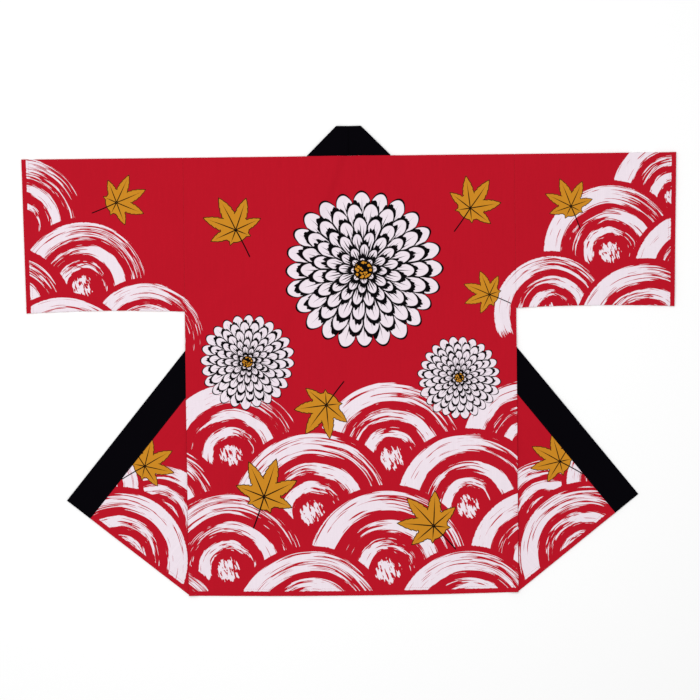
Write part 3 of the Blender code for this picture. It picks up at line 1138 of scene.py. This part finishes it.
# Places on the coat as it lies, in metres, each kind drawn in this order, one over another. A sleeve's
# hidden side follows on past the shoulder, and a front is laid out as its turned part lies. A row holds
# x, y, radius and turn in degrees.
layout = {
    "hemMargin": 0.004,
    "disc": 1.14,  # a bloom or leaf is drawn this far out, in shares of its radius
    "discFade": 0.005,
    "backWaves": (
        (-0.240, -0.185, 0.146, 0),
        (0.080, -0.195, 0.158, 0),
        (0.352, -0.175, 0.138, 0),
        (-0.392, -0.300, 0.142, 0),
        (-0.078, -0.302, 0.164, 0),
        (0.232, -0.292, 0.150, 0),
        (-0.246, -0.412, 0.156, 0),
        (0.070, -0.418, 0.166, 0),
        (0.372, -0.400, 0.146, 0),
        (-0.398, -0.530, 0.142, 0),
        (-0.086, -0.532, 0.160, 0),
        (0.228, -0.525, 0.150, 0),
        (0.648, 0.318, 0.132, 0),
        (0.518, 0.208, 0.138, 0),
        (0.692, 0.160, 0.134, 0),
        (0.398, 0.088, 0.118, 0),
        (0.590, 0.048, 0.142, 0),
        (-0.662, 0.272, 0.144, 0),
        (-0.530, 0.150, 0.134, 0),
        (-0.690, 0.095, 0.136, 0),
        (-0.405, 0.040, 0.122, 0),
        (-0.572, -0.005, 0.140, 0),
        (0.580, 0.660, 0.142, 0),
        (0.420, 0.720, 0.130, 0),
        (-0.585, 0.640, 0.140, 0),
        (-0.430, 0.715, 0.134, 0),
    ),
    "frontWaves": (
        (0.392, -0.318, 0.122, 32),
        (0.532, -0.248, 0.112, 32),
        (0.290, -0.540, 0.145, 20),
        (0.466, -0.392, 0.142, 32),
    ),
    "backBlooms": ((0.026, 0.180, 0.160, 8), (-0.206, 0.000, 0.096, 20), (0.214, -0.036, 0.084, -14)),
    "frontBlooms": ((0.330, 0.200, 0.080, 30),),
    "backLeaves": (
        (-0.226, 0.262, 0.074, 24),
        (0.240, 0.300, 0.069, -38),
        (-0.050, -0.088, 0.072, 140),
        (0.276, 0.128, 0.056, 64),
        (-0.176, -0.268, 0.081, -22),
        (0.160, -0.330, 0.078, 40),
        (-0.462, 0.318, 0.065, -70),
        (0.440, 0.300, 0.061, 18),
        (-0.470, 0.560, 0.072, 30),
        (0.450, 0.560, 0.070, -20),
    ),
    "frontLeaves": ((0.412, -0.205, 0.064, 58), (0.300, 0.020, 0.066, -20)),
}


def localPlaces(points, row):
    # Where points lie in a motif's own frame, in shares of its radius.
    x, y, radius, degrees = row
    turning = math.radians(degrees)
    apart = (points - (x, y)) / radius
    p = apart[:, 0] * math.cos(turning) + apart[:, 1] * math.sin(turning)
    q = apart[:, 1] * math.cos(turning) - apart[:, 0] * math.sin(turning)
    return p, q


def wavePlaces(points, rows, first):
    # Each point's place in the topmost wave over it, and its distance inside what shows of that wave.
    places = np.zeros((len(points), 3))
    edge = np.full(len(points), -1.0)
    for i, row in enumerate(rows):
        p, q = localPlaces(points, row)
        depth = row[2] * (1 - np.hypot(p, q))
        inside = depth > 0
        beside = np.where(edge > 0, np.minimum(edge, -depth), np.maximum(edge, depth))
        edge = np.where(inside, depth, beside)
        seed = np.full(len(points), first + i)
        places[inside] = np.column_stack((p, q, seed))[inside]
    return places, edge


def motifPlaces(points, rows):
    # Each point's place in the motif near it, and 1 in the last value where it is well inside its disc.
    places = np.zeros((len(points), 3))
    for row in rows:
        p, q = localPlaces(points, row)
        depth = row[2] * (layout["disc"] - np.hypot(p, q))
        near = depth > 0
        inside = np.clip(depth / layout["discFade"], 0, 1)
        places[near] = np.column_stack((p, q, inside))[near]
    return places


firstSeed = {1: 1, -1: 51}  # so that the two fronts' brush marks differ


def layPrint(piece, kind, mirror=1):
    # Lays the print over a piece. Its cut gives the place of each point on the cloth.
    corners = cornerPoints(piece.data)
    flat = np.empty(len(corners) * 2, np.float32)
    piece.data.uv_layers["cutPattern"].data.foreach_get("uv", flat)
    points = np.zeros((len(piece.data.vertices), 2))
    points[corners] = flat.reshape(-1, 2)
    if kind == "front":
        points = points * (mirror, 1)
        points = turn.mirrored(points) + foldLength * turn.right
    places, edge = wavePlaces(points, layout[kind + "Waves"], firstSeed[mirror])
    fromHem = np.empty(len(points), np.float32)
    piece.data.attributes["fromHem"].data.foreach_get("value", fromHem)
    edge = np.minimum(edge, fromHem - layout["hemMargin"])
    addValues(piece, "wavePlace", places)
    addValues(piece, "waveEdge", edge)
    addValues(piece, "bloomPlace", motifPlaces(points, layout[kind + "Blooms"]))
    addValues(piece, "leafPlace", motifPlaces(points, layout[kind + "Leaves"]))


layPrint(back, "back")
for piece in sleeves.values():
    layPrint(piece, "back")
for side, mirror in sides.items():
    layPrint(fronts["front" + side], "front", mirror)

print("Finishes")

# Colours are linear.
finishes = {
    "red": (0.458, 0.0060, 0.0175, 1),
    "white": (0.813, 0.716, 0.781, 1),
    "gold": (0.557, 0.229, 0.0160, 1),
    "ink": (0.0015, 0.0010, 0.0018, 1),
    "reverse": (0.46, 0.050, 0.055, 1),
    "black": (0.0012, 0.0008, 0.0020, 1),
    "roughness": 0.86,
    "specular": 0.05,
    "blackSpecular": 0.03,
    "bump": 0.25,
    "bumpDepth": 0.00022,
    "redThread": (0.40, 0.008, 0.016, 1),
    "blackThread": (0.006, 0.005, 0.008, 1),
    "threadRoughness": 0.7,
    "floor": (0.97, 0.97, 0.97, 1),
    "floorRoughness": 0.95,
    "dullSpecular": 0.05,
}


def newMaterial(name, roughness, specular):
    material = bpy.data.materials.new(name)
    material.use_nodes = True
    shader = material.node_tree.nodes["Principled BSDF"]
    shader.inputs["Roughness"].default_value = roughness
    shader.inputs["Specular IOR Level"].default_value = specular
    return material, shader


def cottonMaterial(name, paint, specular):
    # Woven cotton. paint gives its colour from the net.
    material, shader = newMaterial(name, finishes["roughness"], specular)
    net = Net(material.node_tree)
    pattern = net.value("ShaderNodeUVMap", None, "UV", uv_map="cutPattern")
    fromStitches = net.absolute(net.attribute("fromHem", "Fac") - sewing["hem"])
    fromSeam = net.lowest(net.attribute("fromSeam", "Fac"), fromStitches)
    woven = net.group(weaveGroup, {"Layout": pattern, "Seam": fromSeam})
    tinted = {0: paint(net), "Scale": woven["Tone"]}
    net.feed(shader.inputs["Base Color"], net.value("ShaderNodeVectorMath", tinted, operation="SCALE"))
    relief = {"Height": woven["Height"], "Strength": finishes["bump"], "Distance": finishes["bumpDepth"]}
    net.feed(shader.inputs["Normal"], net.value("ShaderNodeBump", relief, "Normal"))
    return material


def printedPaint(net):
    wavePlace = net.attribute("wavePlace")
    ink = net.group(waveGroup, {"Place": wavePlace, "Edge": net.attribute("waveEdge", "Fac")})["Ink"]
    flower = net.group(bloomGroup, {"Place": net.attribute("bloomPlace")})
    foliage = net.group(leafGroup, {"Place": net.attribute("leafPlace")})
    colour = net.colour(ink, finishes["red"], finishes["white"])
    colour = net.colour(flower["Petal"], colour, finishes["white"])
    colour = net.colour(flower["Heart"], colour, finishes["gold"])
    colour = net.colour(flower["Line"], colour, finishes["ink"])
    colour = net.colour(foliage["Leaf"], colour, finishes["gold"])
    return net.colour(foliage["Line"], colour, finishes["ink"])


def plainPaint(name):
    def paint(net):
        dye = net.value("ShaderNodeRGB")
        dye.socket.default_value = finishes[name]
        return dye
    return paint


def matteMaterial(name, colour, roughness):
    material, shader = newMaterial(name, roughness, finishes["dullSpecular"])
    shader.inputs["Base Color"].default_value = colour
    return material


printedCotton = cottonMaterial("printedCotton", printedPaint, finishes["specular"])
paleReverse = cottonMaterial("paleReverse", plainPaint("reverse"), finishes["specular"])
blackCotton = cottonMaterial("blackCotton", plainPaint("black"), finishes["blackSpecular"])
redThread = matteMaterial("redThread", finishes["redThread"], finishes["threadRoughness"])
blackThread = matteMaterial("blackThread", finishes["blackThread"], finishes["threadRoughness"])
paleFloor = matteMaterial("paleFloor", finishes["floor"], finishes["floorRoughness"])

print("Stitches")

stitches = {
    "pitch": 0.0036,
    "length": 0.0027,
    "thread": 0.00052,
    "sides": 6,
    "rings": 4,
    "sunk": 0.00006,  # how far a stitch's middle lies in the cloth
    "yaw": 0.07,
    "seed": 7,
    "collarInset": 0.0024,
    "cuffSpan": (0.006, 0.996),  # where a cuff's row starts and ends, as shares of the sleeve's depth
}


def stitchRow(net, given):
    # Lays a stitch on every point of a mesh, along the direction that the point carries.
    points = net.value("GeometryNodeMeshToPoints", {"Mesh": given["row"]}, "Points")
    ball = {"Segments": stitches["sides"], "Rings": stitches["rings"], "Radius": 0.5}
    thread = net.value("GeometryNodeMeshUVSphere", ball, "Mesh")
    carried = {"Name": "along"}
    along = net.value("GeometryNodeInputNamedAttribute", carried, "Attribute", data_type="FLOAT_VECTOR")
    facing = net.value("FunctionNodeAlignRotationToVector", {"Vector": along}, axis="X")
    # The random value's float limits are its inputs 2 and 3, and its float is output 1.
    limits = {2: given["yaw"] * -1.0, 3: given["yaw"], "Seed": given["seed"]}
    yaw = net.value("FunctionNodeRandomValue", limits, 1, data_type="FLOAT")
    twist = net.value("FunctionNodeEulerToRotation", {0: net.joined(0.0, 0.0, yaw)})
    both = {"Rotation": facing, "Rotate By": twist}
    turned = net.value("FunctionNodeRotateRotation", both, rotation_space="LOCAL")
    size = net.joined(given["stitchLength"], given["threadWidth"], given["threadWidth"])
    array = {"Points": points, "Instance": thread, "Rotation": turned, "Scale": size}
    laid = net.value("GeometryNodeInstanceOnPoints", array, "Instances")
    solid = net.value("GeometryNodeRealizeInstances", {"Geometry": laid}, "Geometry")
    dyed = {"Geometry": solid, "Material": given["threadMaterial"]}
    return {"stitches": net.value("GeometryNodeSetMaterial", dyed, "Geometry")}


stitchInputs = {
    "row": "shape",
    "stitchLength": "value",
    "threadWidth": "value",
    "yaw": "value",
    "seed": "whole",
    "threadMaterial": "material",
}
stitchNodes = nodeTree("stitchRow", stitchInputs, {"stitches": "shape"}, stitchRow, "GeometryNodeTree")


def evenly(path):
    # Points a stitch apart along a path on a pattern.
    path = np.array(path, float)
    run = np.concatenate(([0], np.cumsum(np.hypot(*np.diff(path, axis=0).T))))
    at = np.arange(stitches["pitch"] / 2, run[-1], stitches["pitch"])
    return np.column_stack((np.interp(at, run, path[:, 0]), np.interp(at, run, path[:, 1])))


def sewRow(name, rows, thread):
    # One object of stitches. Each row is an array of places on the cloth.
    mesh = bpy.data.meshes.new(name)
    ways = [np.gradient(row, axis=0) for row in rows]
    places = np.concatenate(rows)
    places[:, 2] += lift(places)
    mesh.from_pydata(places, [], [])
    piece = addObject(name, mesh)
    addValues(piece, "along", np.concatenate(ways))
    values = {
        "stitchLength": stitches["length"],
        "threadWidth": stitches["thread"],
        "yaw": stitches["yaw"],
        "seed": stitches["seed"],
        "threadMaterial": thread,
    }
    modifier = piece.modifiers.new("stitches", "NODES")
    modifier.node_group = stitchNodes
    for socket in stitchNodes.interface.items_tree:
        if socket.in_out == "INPUT" and socket.name in values:
            modifier[socket.identifier] = values[socket.name]
    shape = piece.evaluated_get(bpy.context.evaluated_depsgraph_get())
    sewn = bpy.data.meshes.new_from_object(shape)
    sewn.shade_smooth()
    piece.modifiers.clear()
    piece.data = sewn
    return piece


# How high a stitch's middle lies over the middle of a cloth's space, and of the band.
clothTop = cut["clothSpace"] / 2 + sewing["hemRise"] / 2 - stitches["sunk"]
bandTop = band["half"] - stitches["sunk"]


def mirroredRows(rows):
    return [row * (-1, 1, 1) for row in rows]


def makeStitches():
    half = cut["halfAtHem"]
    inset = sewing["hem"]
    backRow = evenly([(x, backHem(x) + inset) for x in np.linspace(-half, half, 60)])
    backRow = acrossMiddle(placeBack)(backRow, clothTop)
    frontRow = evenly([(seamAtHem, hem + inset), (half, hem + inset)])
    frontRow = placeFront(frontRow[turn.past(frontRow) > foldLength], clothTop)
    share = np.arange(*stitches["cuffSpan"], stitches["pitch"] / cut["sleeveDepth"])
    out = np.full(len(share), sleeveLength - inset)
    cuffRows = [placeSleeve(out, share, 0 * share + angle, clothTop) for angle in (0, math.pi)]
    collarRow = evenly(besidePath([(seamAtHem, hem), (cut["neckHalf"], shoulder)], stitches["collarInset"]))
    collarRow = placeCollar(collarRow[turn.past(collarRow) > foldLength], bandTop)
    rows = {
        "backStitches": [backRow],
        "frontStitchesRight": [frontRow],
        "frontStitchesLeft": mirroredRows([frontRow]),
        "cuffStitchesRight": cuffRows,
        "cuffStitchesLeft": mirroredRows(cuffRows),
    }
    made = {name: sewRow(name, row, redThread) for name, row in rows.items()}
    collarRows = [collarRow, *mirroredRows([collarRow])]
    made["collarStitches"] = sewRow("collarStitches", collarRows, blackThread)
    return made


threads = makeStitches()

cottonPieces = [back, *fronts.values(), *sleeves.values()]
for piece in cottonPieces:
    piece.data.materials.append(printedCotton)
    piece.data.materials.append(paleReverse)
collar.data.materials.append(blackCotton)

print("Frame, floor, lights and camera")

nodes = {
    back: "back",
    fronts["frontRight"]: "front_right",
    fronts["frontLeft"]: "front_left",
    sleeves["sleeveRight"]: "sleeve_right",
    sleeves["sleeveLeft"]: "sleeve_left",
    collar: "collar",
}
for piece, node in nodes.items():
    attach(piece, "root")
    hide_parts(node)

for piece in threads.values():
    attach(piece, "root")

view = {
    "place": (-0.0019, 0.0211, 3.862),
    "lens": 100,
    "sensor": 36,
    "roll": -0.66,
    "floor": 8.0,
    "floorDrop": 0.0004,
    "lightSize": 3.6,
    "lightPlace": (-0.45, 0.50, 3.2),
    "lightPower": 72,
    "sky": 0.56,
}


def makeFloor():
    mesh = bpy.data.meshes.new("floor")
    half, drop = view["floor"] / 2, -view["floorDrop"]
    corners = [(-half, -half, drop), (half, -half, drop), (half, half, drop), (-half, half, drop)]
    mesh.from_pydata(corners, [], [(0, 1, 2, 3)])
    mesh.materials.append(paleFloor)
    floor = addObject("floor", mesh)


def makeLights():
    lamp = bpy.data.lights.new("overhead", "AREA")
    lamp.shape = "DISK"
    lamp.size = view["lightSize"]
    lamp.energy = view["lightPower"]
    light = addObject("overhead", lamp)
    light.location = view["lightPlace"]
    light.rotation_euler = (-light.location).to_track_quat("-Z", "Y").to_euler()
    world = bpy.data.worlds.new("studio")
    world.use_nodes = True
    world.node_tree.nodes["Background"].inputs["Color"].default_value = (1, 1, 1, 1)
    world.node_tree.nodes["Background"].inputs["Strength"].default_value = view["sky"]
    bpy.context.scene.world = world


def makeCamera():
    lens = bpy.data.cameras.new("camera")
    lens.lens = view["lens"]
    lens.sensor_width = view["sensor"]
    camera = addObject("camera", lens)
    camera.location = view["place"]
    camera.rotation_euler = (0, 0, math.radians(view["roll"]))
    bpy.context.scene.camera = camera
    bpy.context.scene.view_settings.view_transform = "Standard"


makeFloor()
makeLights()
makeCamera()

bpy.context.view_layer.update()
for piece in nodes:
    piece.data.calc_loop_triangles()
    area = sum(face.area for face in piece.data.polygons) / 2
    print(piece.name, len(piece.data.loop_triangles), "triangles, area", round(area, 4))
